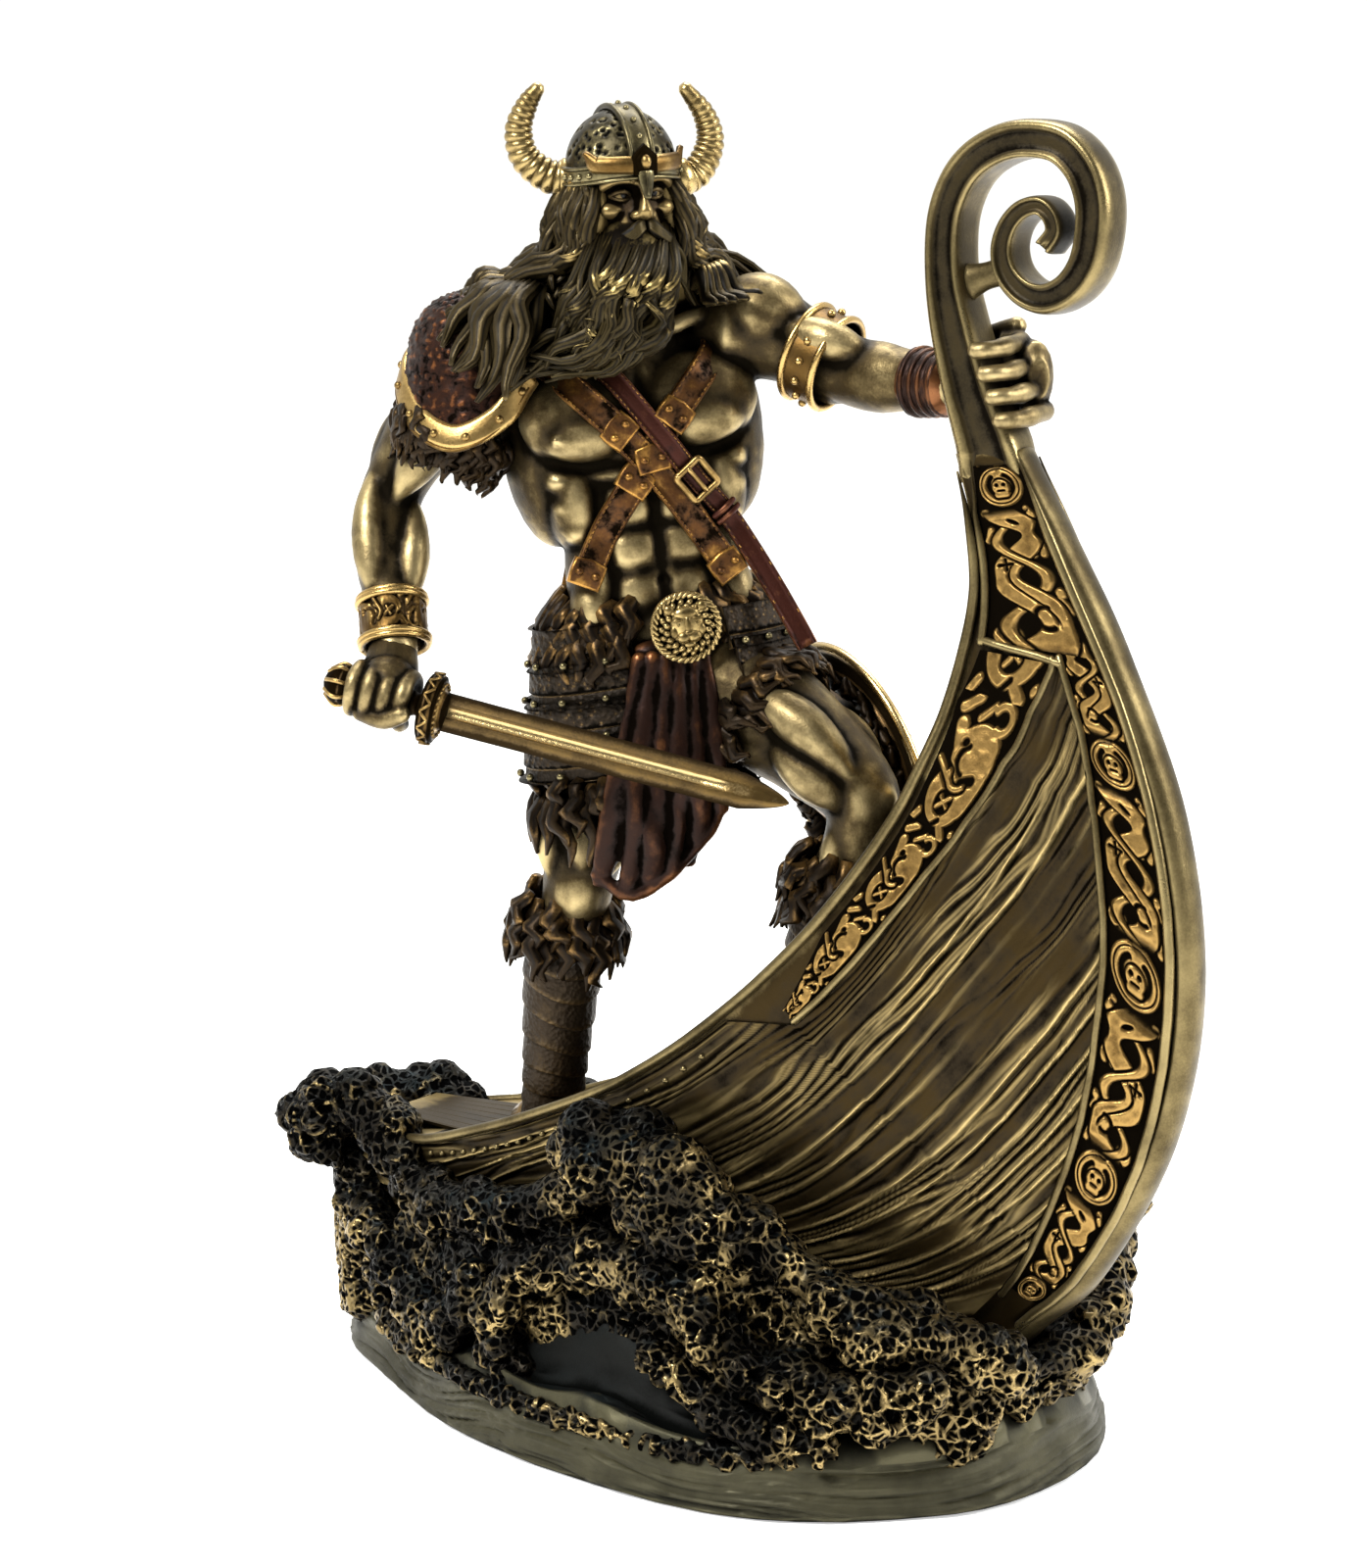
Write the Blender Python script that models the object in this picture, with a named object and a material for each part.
# A table-top statue in cold-cast bronze: a horned-helmed warrior stands in the bow of
# a longship that rides on breaking waves, one hand on the curled stem, a sword in the other.
# +X is the viewer's right, +Y goes away from the viewer, +Z is up. The origin lies on
# the underside of the waves. Lengths are in millimetres and are turned to metres at the end.
import math

import bmesh
import bpy
import numpy as np
from mathutils import Matrix, Vector

# Driving sizes
statueHeight = 300.0        # underside of the waves to the tips of the horns
designHeight = 300.0        # the height at which the free forms below are drawn
glueGap = 0.4               # left between the three castings, where the glue goes
stemThickness = 10.5        # flat bar of the stem and its scroll, across the boat
stemWidth = 8.4             # the same bar, from its inner to its outer edge
gunwaleWall = 2.8           # thickness of the boat's side at the gunwale
beadRadius = 1.5            # raised edge that runs round the stem and the gunwale
ribbonRadius = 1.25         # strands of the interlace carved on the bow
waistDeck = 58.0            # top of the low deck above the underside
foreDeck = 80.0             # top of the raised deck in the bow
rimHeight = 12.0            # plain band round the foot of the waves
gripRadius = 2.6            # sword grip, inside the fist
bladeWidth = 8.6            # sword blade at the guard
bladeThickness = 3.0
bladeLength = 80.0
guardRadius = 8.0
guardThickness = 3.6
pommelRadius = 4.6
gripLength = 17.0
shieldRadius = 31.0
shieldThickness = 3.2
fineness = 0.95             # edge of the cells in which each casting's lumps are fused
shipFaces = 4680            # triangles kept on each casting
warriorFaces = 4330
swordFaces = 330

drawn = statueHeight / designHeight


# The boat's own frame: s runs from stern to bow, n towards the viewer, z up
boatTurn = math.radians(35.0)
boatCentre = np.array([-10.0, 10.0, 0.0]) * drawn
boatAhead = np.array([math.cos(boatTurn), -math.sin(boatTurn), 0.0])
boatBeam = np.array([-math.sin(boatTurn), -math.cos(boatTurn), 0.0])


def boat(s, n, z):
    # A point of the boat's frame, in the statue's frame
    return boatCentre + s * boatAhead + n * boatBeam + np.array([0.0, 0.0, z])


def smooth(rows, count):
    # Points read at even steps from a Catmull-Rom curve through the rows
    rows = np.asarray(rows, float)
    padded = np.vstack([2 * rows[0] - rows[1], rows, 2 * rows[-1] - rows[-2]])
    at = np.linspace(0.0, len(rows) - 1.000001, count)
    k = at.astype(int)
    t = (at - k)[:, None]
    a, b, c, d = padded[k], padded[k + 1], padded[k + 2], padded[k + 3]
    return 0.5 * (2 * b + (c - a) * t + (2 * a - 5 * b + 4 * c - d) * t**2
                  + (3 * b - a - 3 * c + d) * t**3)


def unit(v):
    v = np.asarray(v, float)
    return v / max(np.linalg.norm(v), 1e-9)


class Clay:
    # A heap of closed lumps that becomes one mesh
    def __init__(self):
        self.points = []
        self.faces = []
        self.total = 0

    def add(self, points, faces):
        self.points.append(np.asarray(points, float))
        self.faces.extend([[i + self.total for i in face] for face in faces])
        self.total += len(points)

    def mesh(self, name):
        made = bpy.data.meshes.new(name)
        made.from_pydata((np.vstack(self.points) * 0.001).tolist(), [], self.faces)
        made.update()
        return made


def tube(clay, rings):
    # Closes a stack of rings, each with as many points, into one lump
    rings = np.asarray(rings, float)
    levels, sides = rings.shape[:2]
    faces = []
    for k in range(levels - 1):
        for i in range(sides):
            j = (i + 1) % sides
            faces.append([k * sides + i, k * sides + j, (k + 1) * sides + j, (k + 1) * sides + i])
    faces.append([i for i in reversed(range(sides))])
    faces.append([(levels - 1) * sides + i for i in range(sides)])
    clay.add(rings.reshape(-1, 3), faces)


def circle(sides):
    turn = np.linspace(0.0, 2 * math.pi, sides, endpoint=False)
    return np.column_stack([np.cos(turn), np.sin(turn)])


def slab(corner=0.7):
    # A flat bar's outline with its corners taken off, to be stretched by its half sizes
    return np.array([[1, -corner], [1, corner], [corner, 1], [-corner, 1],
                     [-1, corner], [-1, -corner], [-corner, -1], [corner, -1]])


def along(centres, side):
    # Two directions across a path: the first lies near side, the second completes it
    ahead = np.gradient(centres, axis=0)
    ahead /= np.maximum(np.linalg.norm(ahead, axis=1), 1e-9)[:, None]
    side = np.broadcast_to(np.asarray(side, float), ahead.shape)
    across = side - (side * ahead).sum(1)[:, None] * ahead
    across /= np.maximum(np.linalg.norm(across, axis=1), 1e-9)[:, None]
    return across, np.cross(ahead, across)


def limb(clay, rows, side=(0.0, 1.0, 0.0), count=12, sides=10, outline=None, ends=True):
    # A bar along rows of (x, y, z, half width, half depth); its width lies near side
    rows = smooth(rows, count)
    if ends:
        first = rows[0].copy()
        last = rows[-1].copy()
        first[:3] -= unit(rows[1, :3] - rows[0, :3]) * rows[0, 3:].min() * 0.6
        last[:3] += unit(rows[-1, :3] - rows[-2, :3]) * rows[-1, 3:].min() * 0.6
        first[3:] *= 0.55
        last[3:] *= 0.55
        rows = np.vstack([first, rows, last])
    across, other = along(rows[:, :3], side)
    shape = circle(sides) if outline is None else outline
    rings = [c + np.outer(shape[:, 0] * a, u) + np.outer(shape[:, 1] * b, v)
             for c, a, b, u, v in zip(rows[:, :3], rows[:, 3], rows[:, 4], across, other)]
    tube(clay, rings)


def rope(clay, points, radius, count=12, sides=6, taper=0.35, side=(0.0, 0.3, 1.0)):
    # A strand of hair, foam or trim: thickest near its root, thin at its tip
    points = np.asarray(points, float)
    swell = np.linspace(0.0, 1.0, len(points))
    half = radius * (1.0 - (1.0 - taper) * swell**1.5)
    limb(clay, np.column_stack([points, half, half]), side, count, sides)


def ball(clay, centre, radii, frame=None, rings=5, sides=9):
    # An egg with its own three directions, or the statue's
    frame = np.eye(3) if frame is None else np.asarray(frame, float)
    shape = circle(sides)
    stack = []
    for k in range(rings + 1):
        tilt = math.pi * (k + 0.12) / (rings + 0.24) - math.pi / 2
        ring = np.column_stack([shape * math.cos(tilt), np.full(sides, math.sin(tilt))])
        stack.append(np.asarray(centre) + (ring * radii) @ frame)
    tube(clay, stack)


def pointing(direction, hint=(0.0, 1.0, 0.0)):
    # Three directions, the third along direction
    third = unit(direction)
    first = unit(np.cross(hint, third))
    return np.array([first, np.cross(third, first), third])


def material(name, colour, roughness):
    made = bpy.data.materials.new(name)
    made.use_nodes = True
    shader = made.node_tree.nodes["Principled BSDF"]
    shader.inputs["Base Color"].default_value = (*colour, 1.0)
    shader.inputs["Metallic"].default_value = 1.0
    shader.inputs["Roughness"].default_value = roughness
    return made


def placed(name, mesh, finish):
    made = bpy.data.objects.new(name, mesh)
    bpy.context.scene.collection.objects.link(made)
    if finish:
        mesh.materials.append(finish)
    return made


def cutter(name, mesh):
    # A guide that only takes material away
    made = placed(name, mesh, None)
    made.hide_render = True
    made.display_type = "WIRE"
    return made


def baked(target):
    # The mesh that the modifiers give, kept as the object's own
    graph = bpy.context.evaluated_depsgraph_get()
    made = bpy.data.meshes.new_from_object(target.evaluated_get(graph))
    target.modifiers.clear()
    target.data = made


def wholeOf(mesh):
    # Keeps the largest connected skin: drops sealed pockets and crumbs
    edgeOf = np.empty(len(mesh.loops), np.int32)
    mesh.loops.foreach_get("edge_index", edgeOf)
    sizes = np.empty(len(mesh.polygons), np.int32)
    mesh.polygons.foreach_get("loop_total", sizes)
    faceOf = np.repeat(np.arange(len(sizes)), sizes)
    order = np.argsort(edgeOf, kind="stable")
    shared = np.bincount(edgeOf, minlength=len(mesh.edges))
    first = np.concatenate([[0], np.cumsum(shared)[:-1]])[shared == 2]
    one, two = faceOf[order[first]], faceOf[order[first + 1]]
    label = np.arange(len(sizes))
    while True:
        low = np.minimum(label[one], label[two])
        new = label.copy()
        np.minimum.at(new, one, low)
        np.minimum.at(new, two, low)
        new = new[new]
        if (new == label).all():
            break
        label = new
    main = np.bincount(label).argmax()
    work = bmesh.new()
    work.from_mesh(mesh)
    work.faces.ensure_lookup_table()
    bmesh.ops.delete(work, geom=[work.faces[i] for i in np.flatnonzero(label != main)], context="FACES")
    work.to_mesh(mesh)
    work.free()


def fused(target, triangles, rounds):
    # Melts the heap into one skin, softens the seams, then thins the skin to this many triangles
    melt = target.modifiers.new("melt", "REMESH")
    melt.mode = "VOXEL"
    melt.voxel_size = fineness * 0.001
    soften = target.modifiers.new("soften", "SMOOTH")
    soften.factor = 0.5
    soften.iterations = rounds
    baked(target)
    wholeOf(target.data)
    target.data.calc_loop_triangles()
    thin = target.modifiers.new("thin", "DECIMATE")
    thin.ratio = min(triangles / len(target.data.loop_triangles), 1.0)
    thin.use_collapse_triangulate = True


def cut(target, tool, name, folded=False):
    step = target.modifiers.new(name, "BOOLEAN")
    step.use_self = folded
    step.operation = "DIFFERENCE"
    step.solver = "EXACT"
    step.object = tool


# Lines of the boat, drawn in its own frame as (s, z) or (s, half breadth, z)
stemLine = [(62, 4), (78, 22), (90, 35.5), (104, 49.5), (119.7, 79.9), (125.3, 113), (120.3, 147.8),
            (107.1, 179.4), (97, 198.5), (90.3, 211.1), (83.7, 223)]
sheerLine = [(-99, 10, 54), (-82, 18.5, 55), (-61, 24.5, 58), (-44.7, 27, 63), (-26, 29, 70), (2, 30, 83),
             (27, 29, 101), (47.5, 25, 121.7), (61.4, 18, 143.3), (67.5, 13.5, 158), (71, 9.5, 170), (74, 6.4, 186),
             (74.6, 5.3, 197), (72.7, 5.3, 209), (69, 5.3, 222)]
keelLine = [(-97, 44), (-60, 12), (0, 3)]
# The stem above the gunwale and its scroll: (s, z, width as a share of the bar's)
scrollLine = [(97, 172, 2.6), (91, 186, 2.6), (86, 197, 2.35), (81.5, 208.5, 1.95), (76.2, 222, 1.62), (71.2, 235, 1.42),
              (67.2, 248, 1.22), (65, 259, 1.03), (65, 270, 0.98), (67.6, 277.8, 0.97), (72, 283, 0.97),
              (78.4, 286.3, 0.97), (85, 287.2, 0.96), (92, 286, 0.96), (97.2, 281.6, 0.95), (99.9, 275.6, 0.94),
              (100.2, 268.7, 0.92), (98.6, 261.8, 0.88), (94.8, 256.9, 0.83), (89.5, 254.6, 0.78), (84.4, 255.7, 0.72),
              (80.3, 259.5, 0.67), (78.9, 264.5, 0.62), (80.2, 269.3, 0.56), (83.4, 272.7, 0.52), (87.4, 273.6, 0.48),
              (90.3, 271.4, 0.46), (91, 268.2, 0.46), (88.6, 265, 0.5)]


def hullPoint(t, v, side):
    # t runs from stern to bow, v from the gunwale down to the stem; side is +1 or -1
    sheer = smooth(sheerLine, 41)
    foot = smooth(keelLine + stemLine, 41)
    k = t * 40.0
    low = min(int(k), 39)
    g = sheer[low] + (sheer[low + 1] - sheer[low]) * (k - low)
    f = foot[low] + (foot[low + 1] - foot[low]) * (k - low)
    s = g[0] + (f[0] - g[0]) * v
    z = g[2] + (f[1] - g[2]) * v
    half = stemThickness * 0.42
    n = half + max(g[1] - half, 0.0) * math.cos(v * math.pi / 2) ** 0.75 * (1 - 0.15 * v)
    return boat(s * drawn, side * n * drawn, z * drawn)


def hull(clay, stations=30, steps=9):
    # The boat's outside, filled; its hollow is cut out later
    rings = []
    for k in range(stations):
        t = k / (stations - 1)
        near = [hullPoint(t, v, 1) for v in np.linspace(0, 1, steps)]
        far = [hullPoint(t, v, -1) for v in np.linspace(1, 0, steps)]
        rings.append(near + far)
    tube(clay, [ring[::-1] for ring in rings])


def hollow(clay):
    # The space between the boat's sides, down to the decks
    rings = []
    opened = sheerLine[:12]
    for s, floor in ((-86, waistDeck), (-60, waistDeck), (-20, waistDeck), (6, waistDeck), (7, foreDeck),
                     (30, foreDeck), (46, foreDeck), (58, foreDeck + 12), (66, foreDeck + 40)):
        g = [np.interp(s, [row[0] for row in opened], [row[i] for row in opened]) for i in range(3)]
        top = max(g[1] - gunwaleWall, 1.2)
        low = max(top * 0.72, 1.0)
        high = g[2] + 9.0
        ring = [boat(s * drawn, n * drawn, z * drawn)
                for n, z in ((-top, high), (-low, floor), (low, floor), (top, high))]
        rings.append(ring)
    tube(clay, [ring[::-1] for ring in rings])


def stem(clay):
    # The flat bar that rises from the bow and curls forward into a scroll
    rows = smooth(scrollLine, 78)
    share = np.linspace(0, 1, len(rows))
    half = rows[:, 2] * 0.5 * stemWidth
    depth = np.interp(share, [0, 0.7, 1.0], [1.0, 0.9, 0.75]) * 0.5 * stemThickness
    path = np.array([boat(s * drawn, 0, z * drawn) for s, z, w in rows])
    limb(clay, np.column_stack([path, depth, half]), boatBeam, count=78, outline=slab(0.62))
    # Raised beads along both edges of both faces
    ahead = np.gradient(rows[:, :2], axis=0)
    ahead /= np.linalg.norm(ahead, axis=1)[:, None]
    for edge in (-1, 1):
        line = rows[:, :2] * drawn + np.column_stack([ahead[:, 1], -ahead[:, 0]]) * (edge * (half - beadRadius * 0.8))[:, None]
        for face in (-1, 1):
            points = [boat(s, face * (d - beadRadius * 0.35), z) for (s, z), d in zip(line, depth)]
            size = np.full(len(points), beadRadius * 0.8)
            limb(clay, np.column_stack([points, size, size])[6:74], boatBeam, count=68, sides=5)


def mouldings(clay):
    # The stem's round nose, the gunwale's edge, and the beads that frame the carved bands
    nose = smooth(stemLine, 26)
    rows = [[*boat((s - 0.8) * drawn, 0, z * drawn), 4.7 * drawn, 2.6 * drawn] for s, z in nose]
    limb(clay, rows, boatBeam, count=34, sides=8)
    for side in (1, -1):
        runs = [(lambda t: 0.015, 0.0, 0.98, 1.25), (lambda t: 0.975, 0.38, 0.98, 1.0),
                (stemBandEdge, 0.40, 0.86, 0.75), (strakeBandEdge, 0.42, 0.77, 0.75)]
        for edge, first, last, size in runs:
            points = [hullPoint(t, edge(t), side) for t in np.linspace(first, last, 24)]
            half = beadRadius * size
            limb(clay, [[*p, half, half] for p in points], boatBeam, count=36, sides=5)


def stemBandEdge(t):
    # Where the carved band along the stem begins, as a share of the way down the side
    return float(np.interp(t, [0.4, 0.46, 0.54, 0.615, 0.69, 0.77, 0.82, 1.0],
                           [0.92, 0.88, 0.82, 0.765, 0.72, 0.62, 0.3, 0.15]))


def strakeBandEdge(t):
    # Where the carved band under the gunwale ends
    return float(np.interp(t, [0.38, 0.5, 0.57, 0.64, 0.71, 0.78], [0.07, 0.19, 0.27, 0.36, 0.47, 0.6]))


def interlace(clay):
    # Two strands that cross and part along each carved band
    def inStem(t, sway):
        low, high = stemBandEdge(t), 0.95
        return (low + high) / 2 + (high - low) * 0.3 * sway

    def inStrake(t, sway):
        low, high = 0.04, strakeBandEdge(t)
        return (low + high) / 2 + (high - low) * 0.3 * sway

    for side in (1, -1):
        for place, first, last, waves in ((inStem, 0.42, 0.95, 9), (inStrake, 0.45, 0.74, 5)):
            for phase in (0.0, math.pi):
                count = waves * 7
                points = [hullPoint(first + (last - first) * k / (count - 1),
                                    place(first + (last - first) * k / (count - 1),
                                          math.sin(waves * math.pi * k / (count - 1) + phase)), side)
                          for k in range(count)]
                half = ribbonRadius
                limb(clay, [[*p, half, half] for p in points], boatBeam, count=count, sides=5)


# The water, in the boat's frame: its outline on the table, then lines of foam as (s, n, z, radius)
footLine = [(-103, -2), (-93, 14), (-73, 28), (-37, 48.5), (-10, 57), (13, 60.5), (35, 61.5), (53, 58.5), (69.5, 50),
            (83.4, 37), (92.4, 24), (97, 6), (96.5, -14), (91, -31), (81, -47), (62, -57), (36, -61), (5, -60),
            (-30, -53), (-62, -42), (-90, -24)]
foamLines = [
    [(-95, 21, 50, 6), (-98, 20, 58, 8.5), (-88, 19, 62, 8), (-77, 20, 59, 7), (-65, 24, 51, 7)],
    [(-66, 20, 47, 7), (-54, 30, 46, 7), (-38, 35, 47, 8), (-20, 37, 50, 8), (-6, 38, 57, 9)],
    [(-4, 36, 64, 10), (6, 41, 68, 12), (20, 43, 65, 13), (33, 43, 57, 11), (48, 42, 50, 10), (62, 40, 44, 10),
     (74, 36, 40, 10), (85, 28, 36, 9), (94, 18, 30, 8)],
    [(-14, 47, 15, 5.5), (-21, 48, 25, 6), (-17, 47, 37, 6.5), (-4, 47, 43, 6.5), (14, 48, 46, 8), (32, 50, 43, 8),
     (44, 51, 34, 8), (57, 49, 28, 8.5), (70, 45, 26, 8.5), (84, 37, 28, 8)],
    [(-90, 8, 46, 7), (-88, 15, 35, 7), (-73, 24, 33, 7), (-60, 32, 29, 7), (-46, 40, 20, 7), (-34, 45, 26, 6),
     (-30, 44, 36, 6)],
    [(92, 8, 24, 8), (95, -10, 28, 8), (93, -22, 36, 7), (88, -32, 42, 7.5), (84, -42, 46, 7), (86, -46, 51, 6)],
    [(-84, -22, 48, 9), (-62, -32, 50, 9), (-40, -37, 53, 9), (-18, -40, 57, 10), (6, -42, 56, 11), (30, -42, 50, 10),
     (54, -40, 45, 10), (76, -36, 42, 9)],
    [(-92, -8, 42, 8), (-78, -28, 32, 7), (-58, -40, 28, 7), (-34, -47, 33, 7.5), (-8, -50, 37, 8), (18, -51, 31, 7.5),
     (42, -49, 30, 7.5), (64, -45, 28, 7), (78, -38, 34, 7)],
    [(-100, 2, 50, 9), (-104, -4, 54, 8), (-96, -12, 56, 8), (-84, -16, 55, 8)],
    [(24, 55, 32, 5), (38, 56, 25, 5), (52, 54, 19, 5), (66, 48, 16, 5)],
]


def footRing(count):
    # The outline of the waves on the table, closed, seen from their middle
    closed = footLine[-2:] + footLine + footLine[:2]
    rows = smooth(closed, count * 3)
    turn = np.arctan2(rows[:, 1], rows[:, 0])
    reach = np.hypot(rows[:, 0], rows[:, 1])
    order = np.argsort(turn)
    at = np.linspace(-math.pi, math.pi, count, endpoint=False)
    return at, np.interp(at, turn[order], reach[order], period=2 * math.pi)


def swell(reach, turn):
    # Height of the water at a share of the way out to the edge
    hump = 38.0 * (1 - reach**2) ** 0.75
    trough = 7.0 * math.exp(-((reach - 0.88) / 0.06) ** 2)
    roll = 3.0 * math.sin(6 * turn + 7 * reach) * (1 - reach) * 4 * reach
    return rimHeight + hump - trough + roll


def water(clay, rounds=56, levels=12):
    # A swelling mound with a plain band round its foot, carried below the table to be trimmed flat
    turns, reaches = footRing(rounds)

    def ring(share, z):
        return [boat(r * share * math.cos(a) * drawn, r * share * math.sin(a) * drawn,
                     (swell(share, a) if z is None else z) * drawn) for a, r in zip(turns, reaches)]

    rings = [ring(0.98, -3.0), ring(0.99, 0.0), ring(1.0, rimHeight * 0.35), ring(1.0, rimHeight * 0.75)]
    for k in range(levels):
        rings.append(ring(0.985 - 0.93 * k / (levels - 1), None))
    tube(clay, [r[::-1] for r in rings])


def foam(clay):
    # Crests of froth: round lumps of uneven size heaped along each line
    chance = np.random.RandomState(7)
    for line in foamLines:
        rows = smooth(line, len(line) * 6)
        core = [[*boat(s * drawn, n * drawn, z * drawn), r * 0.72 * drawn, r * 0.72 * drawn] for s, n, z, r in rows]
        limb(clay, core, (0.0, 0.0, 1.0), count=len(rows) // 2, sides=8)
        for s, n, z, r in rows:
            for k in range(2):
                off = chance.normal(0, 1, 3)
                off = off / np.linalg.norm(off) * r * 0.55
                size = r * (0.38 + 0.26 * chance.rand())
                ball(clay, boat((s + off[0]) * drawn, (n + off[1]) * drawn, (z + off[2]) * drawn),
                     np.full(3, size * drawn), rings=4, sides=7)
    # The sheet of water that carries the breaker at the stern, and the mass behind the side foam
    sheets = [[(-84, 6, 12, 12, 16), (-88, 6, 28, 11, 13), (-91, 6, 42, 9, 11), (-95, 7, 54, 6, 8)],
              [(-60, 24, 22, 10, 22), (-20, 33, 30, 12, 20), (20, 36, 36, 12, 22), (60, 32, 26, 12, 18), (84, 20, 18, 10, 16)],
              [(-70, -24, 26, 10, 20), (-20, -33, 34, 12, 20), (20, -36, 34, 12, 20), (60, -32, 28, 12, 16),
               (84, -18, 20, 10, 16)]]
    for number, sheet in enumerate(sheets):
        limb(clay, [[*boat(s * drawn, n * drawn, z * drawn), a * drawn, b * drawn] for s, n, z, a, b in sheet],
             boatAhead if number == 0 else boatBeam, count=14, sides=12)


def longship(finish):
    heap = Clay()
    water(heap)
    foam(heap)
    hull(heap)
    stem(heap)
    mouldings(heap)
    interlace(heap)
    made = placed("longship_on_waves", heap.mesh("longship_on_waves"), finish)
    return made


class Local:
    # A frame on the figure: x to the figure's left, y to its back, z up
    def __init__(self, origin, ahead, up):
        self.origin = np.asarray(origin, float)
        z = unit(up)
        y = -unit(np.asarray(ahead, float) - np.dot(ahead, z) * z)
        self.axes = np.array([np.cross(y, z), y, z])

    def at(self, x, y, z):
        return (self.origin + np.array([x, y, z], float) @ self.axes) * drawn

    def ball(self, clay, x, y, z, rx, ry, rz, rings=5, sides=9):
        ball(clay, self.at(x, y, z), np.array([rx, rz, ry]) * drawn,
             self.axes[[0, 2, 1]] * np.array([[1], [1], [-1]]), rings, sides)


torso = Local((-17, 8, 172), (0.208, -0.978, 0), (-0.13, -0.02, 1))
head = Local((-26, 1, 276), (0.38, -0.92, -0.1), (-0.04, -0.08, 1))


# Muscles of the trunk in its own frame: centre x, y, z and half sizes. The first rows are
# mirrored, the last ones lie on the middle line.
trunkPairs = [(12.5, -7.5, 58, 14, 8, 11), (20, 4, 48, 10, 12.5, 24), (9, 7, 76, 12, 8, 9),
              (5.8, -9.2, 37, 6.4, 5.2, 6.0), (5.6, -9.4, 27.5, 6.2, 5.2, 5.8), (5.2, -9.2, 18, 6.0, 5.0, 5.8),
              (15.5, -2, 22, 7, 9.5, 14), (18.5, -3, 39, 6.5, 8.5, 10), (11, 13, 58, 11, 7, 14), (7, 11.5, 26, 7, 6, 20)]
trunkMiddle = [(0, 3, 52, 25, 15.8, 28), (0, 1, 24, 18.5, 13, 26), (0, 3, 0, 21, 14, 16), (0, -8, 8, 10, 5.5, 9)]


def trunkLumps():
    both = [(side * x, y, z, rx, ry, rz) for x, y, z, rx, ry, rz in trunkPairs for side in (1, -1)]
    return both + trunkMiddle


def chestAt(x, z, lift=0.0):
    # The skin's own front, at a place on the trunk
    best = 0.0
    for cx, cy, cz, rx, ry, rz in trunkLumps():
        left = 1 - ((x - cx) / rx) ** 2 - ((z - cz) / rz) ** 2
        if left > 0:
            best = min(best, cy - ry * math.sqrt(left))
    return torso.at(x, best - lift, z)


def mm(*rows):
    return [[v * drawn for v in row] for row in rows]


def trunk(clay):
    for row in trunkLumps():
        torso.ball(clay, *row, rings=7, sides=12)
    limb(clay, [[*torso.at(0, 4, 72), 9, 9], [*torso.at(-1, 1, 90), 8, 8], [*head.at(0, 2, -8), 8, 8]], count=8)


def rightArm(clay):
    limb(clay, mm((-55, 6, 243, 11, 11), (-62, 6, 236, 10.5, 10.5), (-70, 7, 224, 9, 9.5), (-77, 8.5, 212, 7.4, 7.8),
                  (-79, 5, 204, 7.8, 7.6), (-78.5, -1, 193, 6.8, 6.4), (-76.5, -8, 184, 5.4, 5.0),
                  (-76, -13, 177, 5.4, 5.4)), (1, 0, 0), count=20, sides=12)
    # Cuff
    limb(clay, mm((-76.9, -5.5, 187.2, 6.9, 6.7), (-76.1, -9.5, 178.6, 7.2, 7.0)), (1, 0, 0), count=3, sides=12)
    # Fist and its fingers round the grip
    hand = np.array([-77, -19.5, 169.5])
    ball(clay, hand * drawn, np.array([7.2, 7.6, 7.0]) * drawn, swordFrame, 5, 10)
    for k in range(4):
        away = gripAt(6.3 + 3.7 * k)
        turn = [(away + swordFrame[1] * math.cos(a) * 5.4 + swordFrame[0] * math.sin(a) * 5.4) * drawn
                for a in np.linspace(-2.6, 1.7, 6)]
        rope(clay, turn, 2.1 * drawn, count=7, sides=6, taper=0.8)


def leftArm(clay):
    limb(clay, mm((-4, 11, 247, 11, 12), (4, 10.5, 246, 11, 12), (14, 6, 242, 9, 9.6), (24, 0.5, 237.5, 8, 8),
                  (30, -5, 236.5, 8.2, 8), (37, -12, 236, 6.6, 6.8), (43, -19, 235.5, 5.4, 5.6),
                  (48, -20.5, 236, 5.4, 6)), (0, 0, 1), count=20, sides=12)
    # Ring on the upper arm, then the bracer
    limb(clay, mm((14.8, 6.3, 242, 10.1, 10.2), (20.4, 3.2, 239.6, 9.5, 9.6)), (0, 0, 1), count=3, sides=12)
    limb(clay, mm((29.5, -4.5, 236.6, 9.2, 9), (36, -11, 236, 8.1, 8.1), (41.5, -16.8, 235.6, 7, 7.2)), (0, 0, 1),
         count=4, sides=12)
    # The hand lies on the far side of the stem and its fingers come round the front
    limb(clay, [[*boat(s, n, z) * drawn, a * drawn, b * drawn] for s, n, z, a, b in
                ((62, -9.5, 236, 4.4, 6), (70, -10.2, 237, 4.2, 8), (78, -8.5, 238, 4.4, 8), (83, -4.5, 238, 4, 7.6))],
         boatBeam, count=8, sides=10)
    for k in range(4):
        z = 244.2 - 4.6 * k
        edge = 78.5 + 0.42 * (237 - z)
        rope(clay, [boat(s * drawn, n * drawn, h * drawn) for s, n, h in
                    ((edge - 2, -9, z + 1), (edge + 3.6, -6.5, z + 0.6), (edge + 5, -0.5, z),
                     (edge + 3.2, 5.6, z - 0.4), (edge - 3.5, 8.2, z - 0.5))], 2.4 * drawn, count=9, sides=6, taper=0.8)
    rope(clay, [boat(s * drawn, n * drawn, z * drawn) for s, n, z in
                ((63, -10, 240), (69, -10.5, 246), (76, -9.5, 248.5))], 2.7 * drawn, count=7, taper=0.8)


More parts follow.
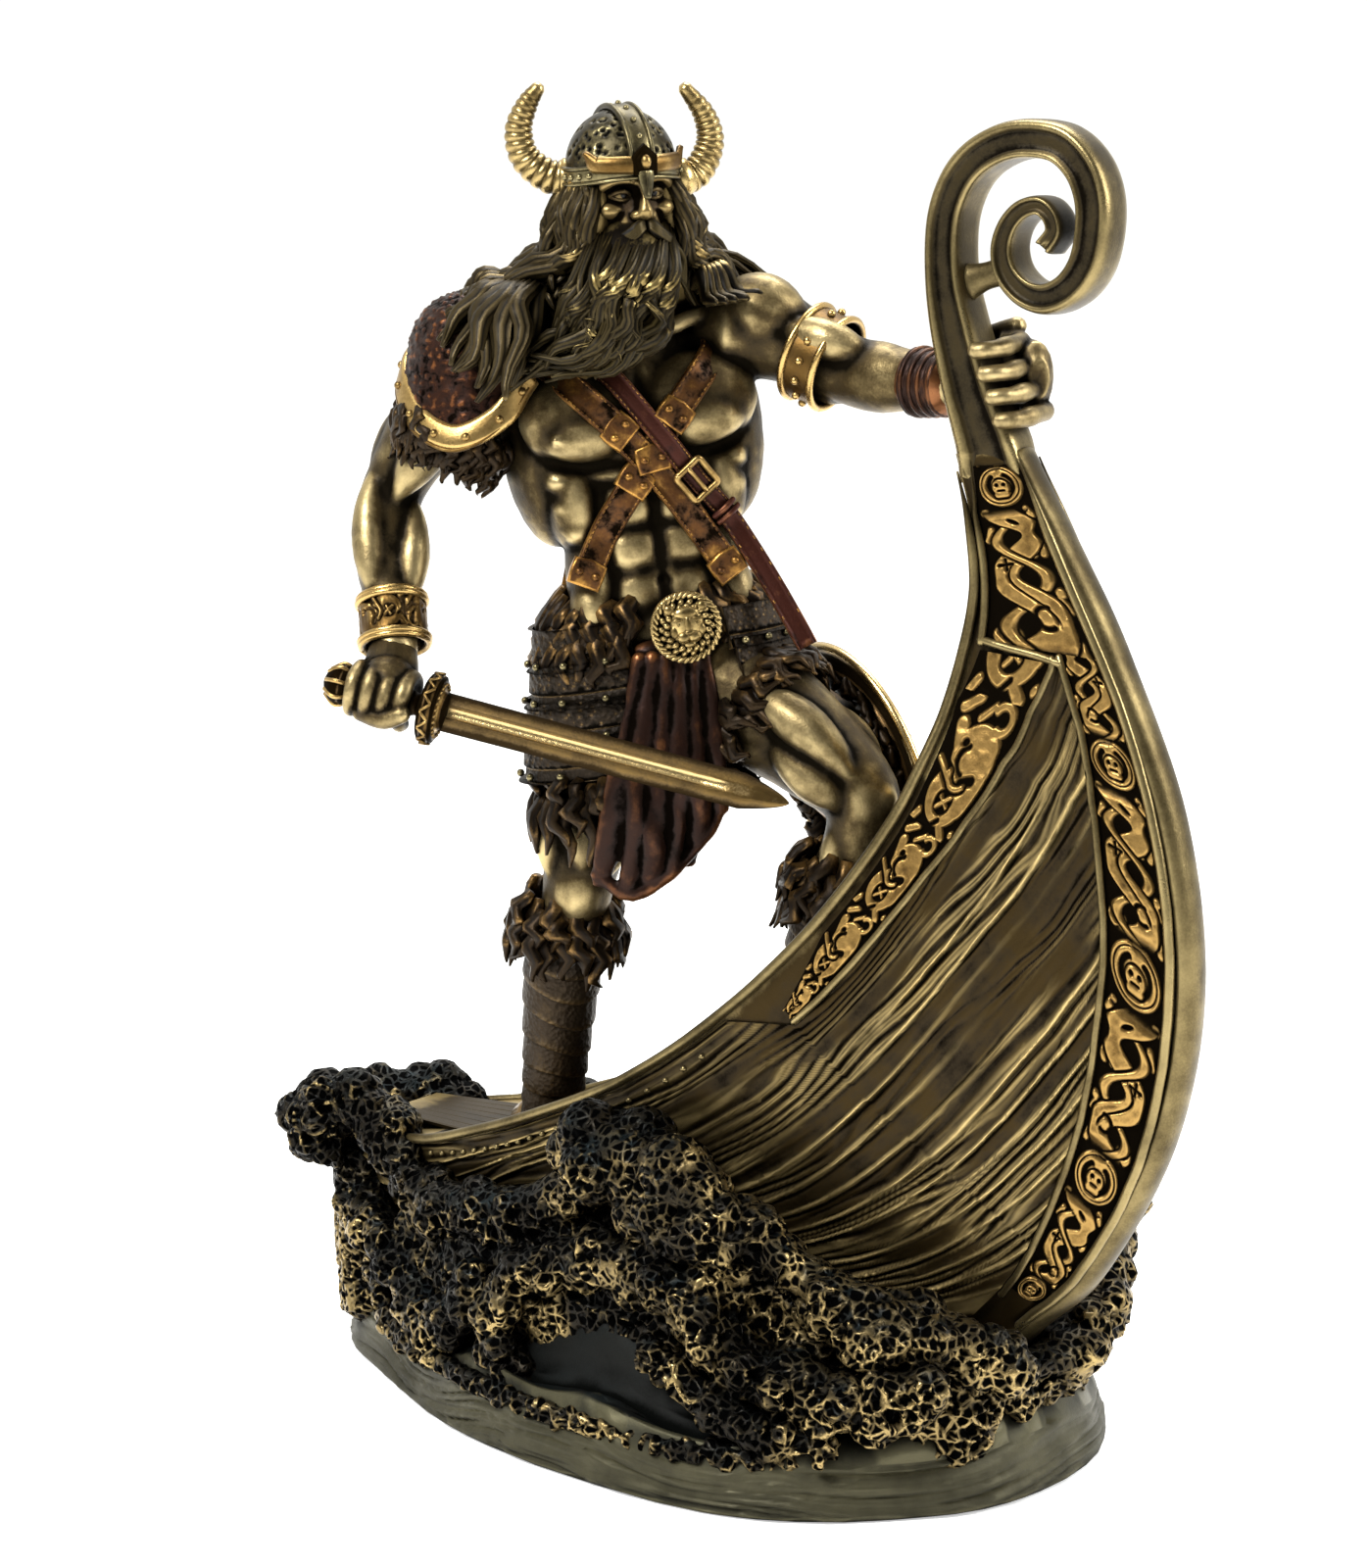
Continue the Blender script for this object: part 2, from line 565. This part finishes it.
def legs(clay):
    # The straight leg: thigh, knee, wrapped boot with its roll of fur, foot
    limb(clay, mm((-29, 8, 166, 13, 13), (-32, 7, 150, 12.5, 12.5), (-35, 5.5, 134, 10.5, 10.5),
                  (-36.8, 4.5, 122, 8.6, 9), (-38.5, 7.5, 112, 8, 8)), (1, 0, 0), count=12, sides=12)
    ball(clay, np.array([-36.6, -0.5, 121.5]) * drawn, np.array([5.6, 4.6, 6]) * drawn)
    limb(clay, mm((-39.5, 9, 112, 9.3, 9.3), (-41, 12, 98, 8.8, 9.5), (-42.5, 17, 80, 7.6, 8.3),
                  (-43.5, 20.5, 66, 7, 7.6), (-43.5, 21, 56, 7.6, 8.4)), (1, 0, 0), count=12, sides=10)
    limb(clay, [[*boat(s, n, z) * drawn, a * drawn, b * drawn] for s, n, z, a, b in
                ((-39, 8, 60, 7.4, 6), (-30, 8, 60.5, 7.6, 6), (-20, 8, 59.5, 7.6, 4.6), (-10, 8, 58.5, 5.4, 3.4))],
         boatBeam, count=7, sides=10)
    # The leg that is set forward on the raised deck
    limb(clay, mm((-5, 4, 168, 13.5, 14), (6, -1.5, 162, 13, 13.5), (17, -8, 154, 11.2, 11.5),
                  (25.5, -13.5, 146, 9.3, 9.3), (26, -12.5, 137, 8.3, 8.6), (22.5, -8.5, 126, 8, 8.2)), (0, 1, 0.3),
         count=14, sides=12)
    ball(clay, np.array([28.2, -16, 144.5]) * drawn, np.array([5.6, 4.8, 6]) * drawn)
    limb(clay, mm((22, -8, 126, 9, 9), (18.5, -4.5, 112, 8.6, 8.8), (15, -1.5, 97, 7.2, 7.6), (13.5, -0.5, 82, 7.6, 8)),
         (1, 0, 0), count=9, sides=10)
    limb(clay, [[*boat(s, n, z) * drawn, a * drawn, b * drawn] for s, n, z, a, b in
                ((22, -4, 83, 7, 6), (30, -4, 84, 7.6, 6), (40, -4, 82, 7.4, 4.6), (49, -4, 81, 5.2, 3.2))],
         boatBeam, count=7, sides=10)
    for centre, turn, radius in (((-39.8, 9.5, 113), (0.06, -0.12, 1), 10.5), ((21.4, -8, 124), (0.3, -0.3, 1), 10)):
        tufts(clay, centre, turn, radius, 15, 13, 3.0)


def tufts(clay, centre, axis, radius, number, length, thick, drop=-0.5, spread=0.25, first=0.0, last=1.0, squash=1.0):
    # Locks of fur that hang round an axis like a skirt
    frame = pointing(axis)
    for k in range(number):
        turn = 2 * math.pi * (first + (last - first) * (k + 0.5) / number)
        out = frame[0] * math.cos(turn) + frame[1] * math.sin(turn) * squash
        reach = 1 + 0.18 * math.sin(5.3 * k)
        slant = np.cross(frame[2], out) * 0.16 * math.sin(2.7 * k)
        start = np.asarray(centre, float) + out * (radius - thick * 0.5) + frame[2] * length * (0.5 + 0.1 * math.sin(3.1 * k))
        middle = start + out * thick * 0.9 - frame[2] * length * 0.5 * reach + slant * length * 0.4
        end = start + out * (spread * length * 0.5) - frame[2] * length * reach + slant * length
        rope(clay, np.array([start, middle, end]) * drawn, thick * drawn, count=5, sides=6, taper=0.3)


def skirt(clay):
    # Leather lappets over the hips, fur below them, a roll of fur for the belt
    for x, z, rx, rz, out in ((-17, -13, 11, 16, 12), (17, -9, 11.5, 12, 12)):
        torso.ball(clay, x, 0, z, rx, out + 3, rz, rings=6, sides=12)
    torso.ball(clay, 0, 9, -14, 20, 8, 17, rings=6, sides=12)
    for k in range(26):
        turn = 2 * math.pi * k / 26
        x, y = 21.5 * math.sin(turn), 2 - 15.5 * math.cos(turn)
        if abs(x) < 5 and y < 0:
            continue
        top = torso.at(x * 0.92, y * 0.92, 15 + 1.5 * math.sin(3 * k))
        mid = torso.at(x * 1.08, y * 1.1, 9)
        low = torso.at(x * 1.05 + 1.5 * math.sin(2.1 * k), y * 1.08, 0.5 + 2 * math.sin(1.7 * k))
        rope(clay, [top, mid, low], 3.2 * drawn, count=5, taper=0.35)
    # Three bands on each lappet
    for side in (-1, 1):
        for level in (-5, -14, -22) if side < 0 else (-3, -11):
            rows = []
            for turn in np.linspace(-0.25, 1.9, 8):
                x = side * (4 + 25.5 * math.sin(turn))
                y = 3 - 17.5 * math.cos(turn)
                rows.append([*torso.at(x, y, level - 1.5 * math.sin(turn)), 1.3 * drawn, 3.2 * drawn])
            limb(clay, rows, torso.axes[1], count=12, sides=6, outline=slab(0.5))
    tufts(clay, torso.at(-17, 0, -30) / drawn, (0.05, 0, 1), 13, 11, 14, 3.2, first=0.2, last=1.05, squash=1.1)
    tufts(clay, (12, -4, 157), (-0.75, 0.42, 0.5), 12.5, 10, 12, 3.0, first=0.0, last=0.8)


def loincloth(clay):
    # Cloth that hangs from the belt in deep folds and swings to the figure's right
    folds = [((-9, -16, 4), (-12, -18, -18), (-13, -17, -36), 3.2), ((-5, -17, 4), (-7, -19.5, -20), (-9, -18, -44), 3.4),
             ((-1, -17.5, 4), (-1.5, -20, -20), (-3, -18, -49), 3.6), ((3, -17.5, 4), (4, -19.5, -18), (3, -18, -43), 3.4),
             ((7, -17, 4), (8.5, -18.5, -14), (9, -17, -33), 3.2)]
    for top, mid, low, radius in folds:
        rows = [[*torso.at(*top), radius * 0.9 * drawn, 2.4 * drawn], [*torso.at(*mid), radius * 1.15 * drawn, 2.6 * drawn],
                [*torso.at(*low), radius * 0.8 * drawn, 1.7 * drawn]]
        limb(clay, rows, torso.axes[0], count=9, sides=8)
    sheet = [[*torso.at(-0.5, -13, 4), 11 * drawn, 3 * drawn], [*torso.at(-2, -14.5, -18), 11 * drawn, 3 * drawn],
             [*torso.at(-3, -14.5, -38), 8 * drawn, 2.2 * drawn]]
    limb(clay, sheet, torso.axes[0], count=8, sides=12)


def harness(clay):
    # Two crossed straps and the sword belt, each lying on the skin
    for name, ends, half in (("left", ((22, 80), (13, 62), (2, 44), (-10, 24), (-16, 8)), 3.9),
                             ("right", ((-16, 74), (-8, 58), (3, 42), (12, 30), (20, 20)), 3.9),
                             ("sword belt", ((-16, 66), (-6, 56), (7, 36), (16, 16), (21, 0), (27, -12)), 2.8)):
        lift = 2.2 if name == "sword belt" else 0.8
        steps = smooth(ends, 14)
        rows = [[*chestAt(x, z, lift), half * drawn, 1.3 * drawn] for x, z in steps]
        if name == "sword belt":
            rows[-2:] = [[*torso.at(25, -15, -9), half, 1.3], [*torso.at(29, -15, -16), half, 1.2]]
        limb(clay, rows, np.cross(torso.axes[1], np.asarray(rows[7][:3]) - rows[5][:3]), count=22, outline=slab(0.5))
    buckle = chestAt(9, 33, 3.6)
    limb(clay, [[*(buckle + torso.axes[2] * 3.6), 3.8, 1.0], [*(buckle - torso.axes[2] * 3.6), 3.8, 1.0]],
         torso.axes[0], count=3, outline=slab(0.6))
    # Medallion on the belt
    centre = torso.at(1.6, -19.5, 10.5)
    frame = pointing(-torso.axes[1], torso.axes[2])
    ball(clay, centre, np.array([8.0, 2.4, 8.0]) * drawn, frame[[0, 2, 1]] * np.array([[1], [1], [-1]]), 5, 14)
    ring = [[*(centre + (frame[0] * math.cos(a) + frame[1] * math.sin(a)) * 7.3 * drawn), 1.2, 1.2]
            for a in np.linspace(0, 2 * math.pi, 17)]
    limb(clay, ring, frame[2], count=28, sides=5)


def pauldron(clay):
    # Shoulder guard: a leather dome, a rim that dips at the front, fur below
    ball(clay, np.array([-59.5, 4, 240.5]) * drawn, np.array([14, 14.5, 14.5]) * drawn, rings=7, sides=14)
    rim = mm((-46, -8, 236), (-52.5, -12.5, 228.5), (-62, -12, 224), (-70.5, -6, 227.5), (-74.2, 3, 235),
             (-72.5, 12, 240), (-64, 18, 242))
    limb(clay, [[*p, 2.9 * drawn, 2.2 * drawn] for p in rim], (0.0, 0.3, 1.0), count=18, sides=8, outline=slab(0.55))
    tufts(clay, (-65, 3, 221), (0.45, 0.0, 1.0), 12, 11, 15, 3.4)


def headAndFace(clay):
    head.ball(clay, 0, 1, 1, 9.4, 11.2, 12.5, rings=7, sides=12)
    head.ball(clay, 0, -3, -7, 7.4, 8.8, 8.2, rings=6, sides=10)
    # Brow, cheeks, nose
    head.ball(clay, 0, -8.6, 3.6, 7.6, 3.4, 1.9)
    for side in (-1, 1):
        head.ball(clay, side * 5.2, -8.4, -2.6, 3.0, 2.8, 2.4)
    limb(clay, [[*head.at(0, -11, 3), 1.5, 1.5], [*head.at(0, -13, -0.5), 1.8, 2.0], [*head.at(0, -14, -3.4), 2.4, 2.2]],
         head.axes[0], count=5, sides=8)


def helmet(clay):
    # Hammered dome with a ridge, a brow band and two ringed horns
    head.ball(clay, 0, 1.2, 5.5, 12.2, 13.2, 12.9, rings=8, sides=16)
    arc = [[*head.at(0, 1.2 - 13.7 * math.cos(a), 5.5 + 13.4 * math.sin(a)), 3.0 * drawn, 1.0 * drawn]
           for a in np.linspace(0.1, 3.0, 12)]
    limb(clay, arc, head.axes[0], count=16, outline=slab(0.5))
    band = [[*head.at(12.5 * math.sin(a), 1.2 - 13.6 * math.cos(a), 6.2 + 0.8 * math.cos(2 * a)), 2.4 * drawn, 1.1 * drawn]
            for a in np.linspace(0, 2 * math.pi, 21)]
    limb(clay, band, head.axes[2], count=32, outline=slab(0.5))
    limb(clay, [[*head.at(0, -14, 6), 2.8, 1.3], [*head.at(0, -14.6, 9.8), 3.2, 1.3]], head.axes[0], count=3, outline=slab(0.5))
    limb(clay, [[*head.at(0, -13.2, 4), 1.6, 1.0], [*head.at(0, -14.2, -1.5), 1.3, 1.0]], head.axes[0], count=3,
         outline=slab(0.5))
    for rows in (mm((-34, 3, 279.2, 4.2, 4.2), (-42, 2.6, 279.2, 3.5, 3.5), (-47.4, 2, 283.4, 3.1, 3.1),
                    (-48.8, 1.4, 289.3, 2.6, 2.6), (-47, 0.8, 294.7, 1.9, 1.9), (-43.6, 0, 299.6, 0.9, 0.9)),
                 mm((-18, 2, 279.2, 4.0, 4.0), (-10.5, 4, 280.2, 3.4, 3.4), (-7.4, 4.6, 286.5, 2.9, 2.9),
                    (-8.6, 3.4, 293, 2.1, 2.1), (-13.6, 1.4, 299.6, 0.9, 0.9))):
        ringed = smooth(rows, 24)
        for k in range(2, 20):
            ringed[k, 3:] *= 1.09 if k % 2 else 0.93
        limb(clay, ringed, (0, 1, 0), count=24, sides=8)


def hairAndBeard(clay):
    # Locks from under the helmet: each falls, waves and ends on the shoulders
    for k in range(11):
        a = 0.95 + 4.4 * k / 10
        side = math.sin(a)
        back = -math.cos(a)
        start = head.at(10.2 * side, 1 + 11 * back, 0)
        mid = head.at((12.5 + 2 * math.sin(2.2 * k)) * side, 3 + 13 * back, -13)
        late = torso.at(17 * side - 1, 5 + 15 * back, 84 - 2 * math.cos(1.9 * k))
        end = torso.at((21 + 3 * math.sin(3.3 * k)) * side, 4 + 18 * back, 72 - 4 * math.sin(2.6 * k))
        rope(clay, [start, mid, late, end], 4.4 * drawn, count=9, sides=7, taper=0.4)
    # Beard
    for k in range(9):
        across = (k - 4) / 4
        rope(clay, [head.at(6.8 * across, -8.5 + 2.5 * across**2, -8), head.at(8 * across - 0.5, -12 + 3.5 * across**2, -18),
                    head.at(6.8 * across - 2.5, -13 + 3 * across**2, -28), head.at(3.2 * across - 5, -13 + across**2, -37
                    + 5 * across**2)], 3.3 * drawn, count=9, sides=7, taper=0.4)
    for side in (-1, 1):
        rope(clay, [head.at(0.8 * side, -13, -5.4), head.at(4 * side, -12.4, -8.5), head.at(7.6 * side, -9.5, -14),
                    head.at(9 * side, -9, -21)], 2.2 * drawn, count=8, taper=0.35)
    head.ball(clay, 0, 3, -14, 10, 8, 12, rings=6, sides=10)
    # Mantle of long fur over the right shoulder, and a smaller one over the left
    for k in range(15):
        across = k / 14
        start = torso.at(-8 - 10 * across, -8 + 22 * across, 84 - 4 * across)
        mid = torso.at(-19 - 6 * across, -13 + 25 * across, 78 - 3 * math.sin(2 * k))
        end = torso.at(-27 - 7 * across + 2 * math.sin(3 * k), -14 + 28 * across, 66 + 6 * across + 3 * math.sin(1.3 * k))
        rope(clay, [start, mid, end], 4.2 * drawn, count=7, sides=7, taper=0.35)
    for k in range(9):
        across = k / 8
        start = torso.at(7 + 5 * across, -5 + 20 * across, 84)
        end = torso.at(21 + 4 * math.sin(2 * k), -6 + 20 * across, 78 + 2 * math.sin(1.7 * k))
        rope(clay, [start, (start + end) / 2 + torso.axes[2] * 2.5, end], 3.6 * drawn, count=6, sides=7, taper=0.35)


def shield(clay):
    # Round and shallow; its hollow side faces the leg and is lined with fur
    centre = np.array([26.6, 22.0, 145.0]) * drawn
    face = pointing((0.85, 0.45, 0.25), (0, 0, 1))
    turns = circle(30)
    rings = []
    for share, rise in ((1.0, 0.0), (1.02, 0.5), (1.0, 1.0), (0.86, 1.75), (0.6, 2.9), (0.3, 3.6), (0.02, 3.8)):
        flat = turns * share * shieldRadius
        lift = face[2] * (rise * shieldThickness - shieldThickness)
        rings.append(centre + flat[:, :1] * face[0] + flat[:, 1:] * face[1] + lift)
    tube(clay, rings)
    rim = [[*(centre + (face[0] * math.cos(a) + face[1] * math.sin(a)) * (shieldRadius - 1.2)), 2.0, 2.0]
           for a in np.linspace(0, 2 * math.pi, 25)]
    limb(clay, rim, face[2], count=40, sides=6)
    # Strap and padding that join it to the hip and thigh
    limb(clay, [[*(centre - face[2] * 1.0), 13 * drawn, 11 * drawn], [*mm((17, 12, 152))[0], 11 * drawn, 10 * drawn],
                [*mm((9, 6, 158))[0], 9 * drawn, 9 * drawn]], (0, 0, 1), count=6, sides=10)


# The sword's own axis, from pommel to point, and its two cross directions
swordPoint = np.array([10.6, -36.0, 147.6])
swordGuard = np.array([-67.3, -22.0, 166.3])
swordAxis = unit(swordPoint - swordGuard)
swordFace = unit(np.array([0.05, -1.0, 0.25]) - np.dot([0.05, -1.0, 0.25], swordAxis) * swordAxis)
swordFrame = np.array([np.cross(swordAxis, swordFace), swordFace, swordAxis])


def gripAt(back):
    # A point on the sword's axis, behind the guard
    return swordGuard - swordAxis * back


def blade(clay):
    # Blade with a fuller down the middle of each face
    count = 9
    rows = []
    for k in range(count):
        share = k / (count - 1)
        half = bladeWidth / 2 * (1 - 0.12 * share) * min(1.0, (1 - share) * 5.0 + 0.04)
        thick = bladeThickness / 2 * (1 - 0.35 * share) * min(1.0, (1 - share) * 5.0 + 0.1)
        deep = 0.5 if share < 0.8 else 0.85
        outline = [(1, 0), (0.62, 0.8), (0.3, 1.0), (0.16, deep), (-0.16, deep), (-0.3, 1.0), (-0.62, 0.8),
                   (-1, 0), (-0.62, -0.8), (-0.3, -1.0), (-0.16, -deep), (0.16, -deep), (0.3, -1.0), (0.62, -0.8)]
        centre = swordGuard * drawn + swordAxis * bladeLength * share
        rows.append([centre + swordFrame[0] * x * half + swordFrame[1] * y * thick for x, y in outline])
    tube(clay, rows)


def turned(clay, rows, sides=14):
    # A solid turned about the sword's axis: (distance behind the guard, radius)
    shape = circle(sides)
    rings = [swordGuard * drawn - swordAxis * back + shape[:, :1] * r * swordFrame[0] + shape[:, 1:] * r * swordFrame[1]
             for back, r in rows]
    tube(clay, rings[::-1])


def swordShape():
    heap = Clay()
    blade(heap)
    g = guardThickness
    turned(heap, [(-g * 0.5, guardRadius * 0.8), (-g * 0.3, guardRadius * 0.96), (0, guardRadius),
                  (g * 0.3, guardRadius * 0.96), (g * 0.5, guardRadius * 0.8)], 18)
    end = gripLength + g * 0.5
    turned(heap, [(0, gripRadius), (end, gripRadius), (end + 1.5, gripRadius)], 12)
    p = pommelRadius
    turned(heap, [(end - 1, gripRadius), (end, p * 0.8), (end + p * 0.45, p), (end + p, p * 0.75), (end + p * 1.25, p * 0.2)],
           14)
    return heap


def inflated(name, source, by):
    # A copy that is thicker all round, used only to clear space for the glue
    made = cutter(name, source.copy())
    swollen = made.modifiers.new("swell", "DISPLACE")
    swollen.strength = by * 0.001
    swollen.mid_level = 0.0
    return made


def main():
    for old in list(bpy.data.objects):
        bpy.data.objects.remove(old)
    bronze = material("bronze", (0.23, 0.17, 0.09), 0.42)
    skin = material("bright_bronze", (0.36, 0.31, 0.2), 0.35)
    gold = material("gilded_bronze", (0.55, 0.4, 0.17), 0.32)

    ship = longship(bronze)
    fused(ship, shipFaces, 1)
    hollowHeap = Clay()
    hollow(hollowHeap)
    hold = cutter("hollow_of_the_hull", hollowHeap.mesh("hollow_of_the_hull"))
    cut(ship, hold, "clear the hull")
    ground = Clay()
    far = statueHeight
    corners = [(-far, -far), (far, -far), (far, far), (-far, far)]
    tube(ground, [[(x, y, z) for x, y in corners] for z in (-far * 0.1, 0.0)])
    table = cutter("table_below", ground.mesh("table_below"))
    cut(ship, table, "flat underside")
    baked(ship)

    sword = placed("sword", swordShape().mesh("sword"), gold)
    union = sword.modifiers.new("melt", "REMESH")
    union.mode = "VOXEL"
    union.voxel_size = 0.00045
    baked(sword)
    thin = sword.modifiers.new("thin", "DECIMATE")
    thin.ratio = min(swordFaces / len(sword.data.polygons) / 2, 1.0)
    thin.use_collapse_triangulate = True
    baked(sword)

    body = Clay()
    for build in (trunk, rightArm, leftArm, legs, skirt, loincloth, harness, pauldron, headAndFace, helmet,
                  hairAndBeard, shield):
        build(body)
    warrior = placed("warrior", body.mesh("warrior"), skin)
    fused(warrior, warriorFaces, 2)
    cut(warrior, inflated("space_for_the_ship", ship.data, glueGap), "clear the ship", True)
    cut(warrior, inflated("space_for_the_sword", sword.data, glueGap), "clear the sword", True)
    baked(warrior)
    wholeOf(warrior.data)


main()
